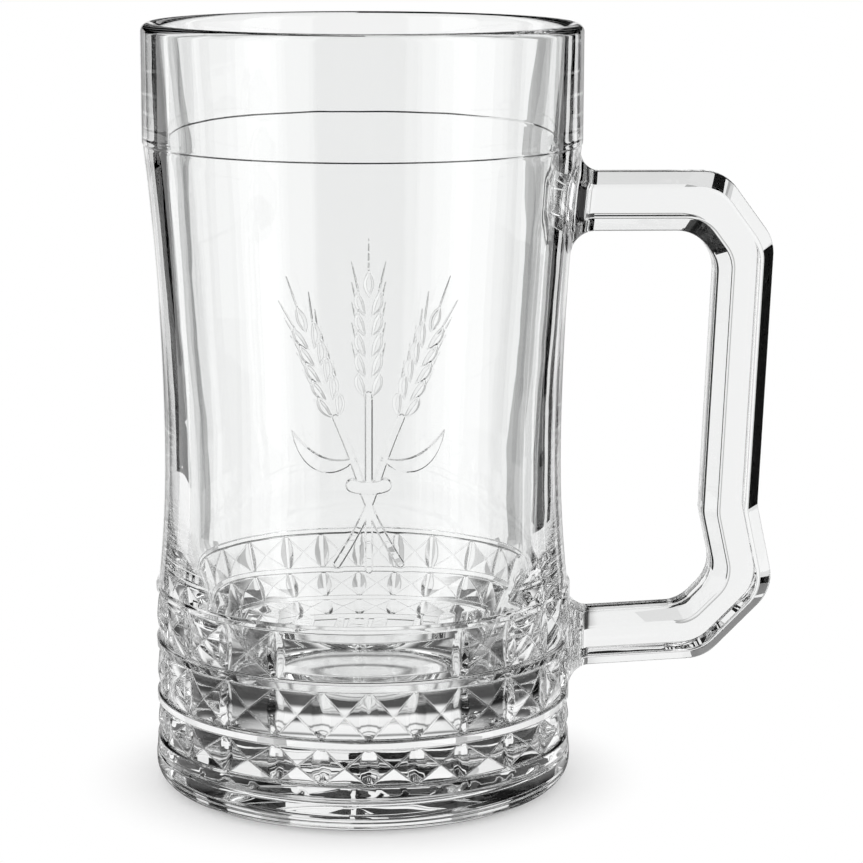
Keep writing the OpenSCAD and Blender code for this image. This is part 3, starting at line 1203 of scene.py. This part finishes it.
def stage_object(name, points, faces, material):
    """A plain mesh that isn't part of the mug."""
    mesh = bpy.data.meshes.new(name)
    mesh.from_pydata(points, [], faces)
    mesh.materials.append(material)
    obj = bpy.data.objects.new(name, mesh)
    scene.collection.objects.link(obj)
    return obj


def build_floor():
    """A disc that the mug stands on, and the wide floor round it, which the glass doesn't show."""
    material = floor_material()
    angles = np.radians(spread(0, 360, FLOOR_SIDES)[:-1])
    near = [(NEAR_R * math.cos(t), NEAR_R * math.sin(t), 0) for t in angles]
    far = [(FAR_R * math.cos(t), FAR_R * math.sin(t), 0) for t in angles]
    count = FLOOR_SIDES
    ring = [(i, count + i, count + (i + 1) % count, (i + 1) % count) for i in range(count)]
    stage_object("near_floor", near, [tuple(range(count))], material)
    far_floor = stage_object("far_floor", near + far, ring, material)
    far_floor.visible_glossy = False
    far_floor.visible_transmission = False


build_floor()

# A dark drum with strips of light round the mug, which only its glass shows, in metres
DRUM_R = 1.0
DRUM_LOW, DRUM_HIGH = -0.75, 1.2
INNER_DRUM_R = 0.98
STRIP_STEP_DEG = 3
WINDOW_HIGH = 0.22
SKIRT = -0.28
SIDE_LOW, SIDE_HIGH = -0.04, 0.3
# Strips on both sides: start and stop in degrees from straight behind, lower and upper edge, strength
STRIPS = (
    (0, 14.5, DRUM_LOW, WINDOW_HIGH, 0.95),
    (14.5, 17, DRUM_LOW, WINDOW_HIGH, 0.45),
    (17, 20.5, DRUM_LOW, WINDOW_HIGH, 0.6),
    (20.5, 29.5, DRUM_LOW, WINDOW_HIGH, 0.9),
    (29.5, 56.5, DRUM_LOW, SKIRT, 0.9),
    (56.5, 62.5, DRUM_LOW, DRUM_HIGH, 1.1),
    (62.5, 73, DRUM_LOW, SKIRT, 0.9),
    (73, 97, DRUM_LOW, SIDE_LOW, 0.15),
    (73, 107, SIDE_LOW, SIDE_HIGH, 0.85),
    (73, 97, SIDE_HIGH, DRUM_HIGH, 0.15),
    (97, 107, DRUM_LOW, SIDE_LOW, 0.5),
    (107, 132, DRUM_LOW, DRUM_HIGH, 1.45),
    (132, 152, DRUM_LOW, DRUM_HIGH, 0.8),
    (152, 180, DRUM_LOW, DRUM_HIGH, 0.2),
)
# Strips on one side: those on the right for the handle's bevels, those on the left for the body
LONE_STRIPS = (
    ("right_edge", 36, 41, SKIRT, WINDOW_HIGH, 0.9),
    ("right_high", 4, 16, 0.31, 0.8, 0.9),
    ("right_top", 0, 16, WINDOW_HIGH, 0.245, 0.45),
    ("right_low", 2, 33, -1.2, DRUM_LOW, 0.8),
    ("left_edge", -56.5, -48.5, SKIRT, DRUM_HIGH, 1.1),
    ("left_skirt", -48.5, -29.5, SKIRT, -0.21, 0.9),
)
# A strip a little in front of the others
NEAR_STRIP = ("left_side", -104, -76, -0.3, SIDE_LOW, 0.85)


def build_strip(name, start, stop, bottom, top, strength, radius=DRUM_R):
    """A curved strip of light that neither the eye nor the floor sees."""
    material, light = lone_shader(name, "ShaderNodeEmission")
    light.inputs["Strength"].default_value = strength
    angles = np.radians(spread(start, stop, max(1, round((stop - start) / STRIP_STEP_DEG))))
    points = [(radius * math.sin(t), radius * math.cos(t), z) for t in angles for z in (bottom, top)]
    faces = [(2 * i, 2 * i + 2, 2 * i + 3, 2 * i + 1) for i in range(len(angles) - 1)]
    strip = stage_object(name, points, faces, material)
    strip.visible_camera = False
    strip.visible_diffuse = False
    strip.visible_shadow = False


for i, (start, stop, *rest) in enumerate(STRIPS):
    build_strip(f"right_{i}", start, stop, *rest)
    build_strip(f"left_{i}", -stop, -start, *rest)
for strip in LONE_STRIPS:
    build_strip(*strip)
build_strip(*NEAR_STRIP, INNER_DRUM_R)


def build_world():
    """White to the eye and for the floor's light, and dark for the glass."""
    world = bpy.data.worlds.new("studio")
    scene.world = world
    world.use_nodes = True
    nodes, links = world.node_tree.nodes, world.node_tree.links
    nodes["Background"].inputs["Strength"].default_value = 1.0
    mix = nodes.new("ShaderNodeMix")
    mix.data_type = "RGBA"
    mix.inputs["A"].default_value = (1, 1, 1, 1)
    mix.inputs["B"].default_value = (0, 0, 0, 1)
    links.new(seen_in_glass(nodes, links), mix.inputs["Factor"])
    links.new(mix.outputs["Result"], nodes["Background"].inputs["Color"])


build_world()

scene.view_settings.view_transform = "Standard"
scene.cycles.max_bounces = 32
scene.cycles.transmission_bounces = 32
scene.cycles.glossy_bounces = 16
scene.cycles.transparent_max_bounces = 32
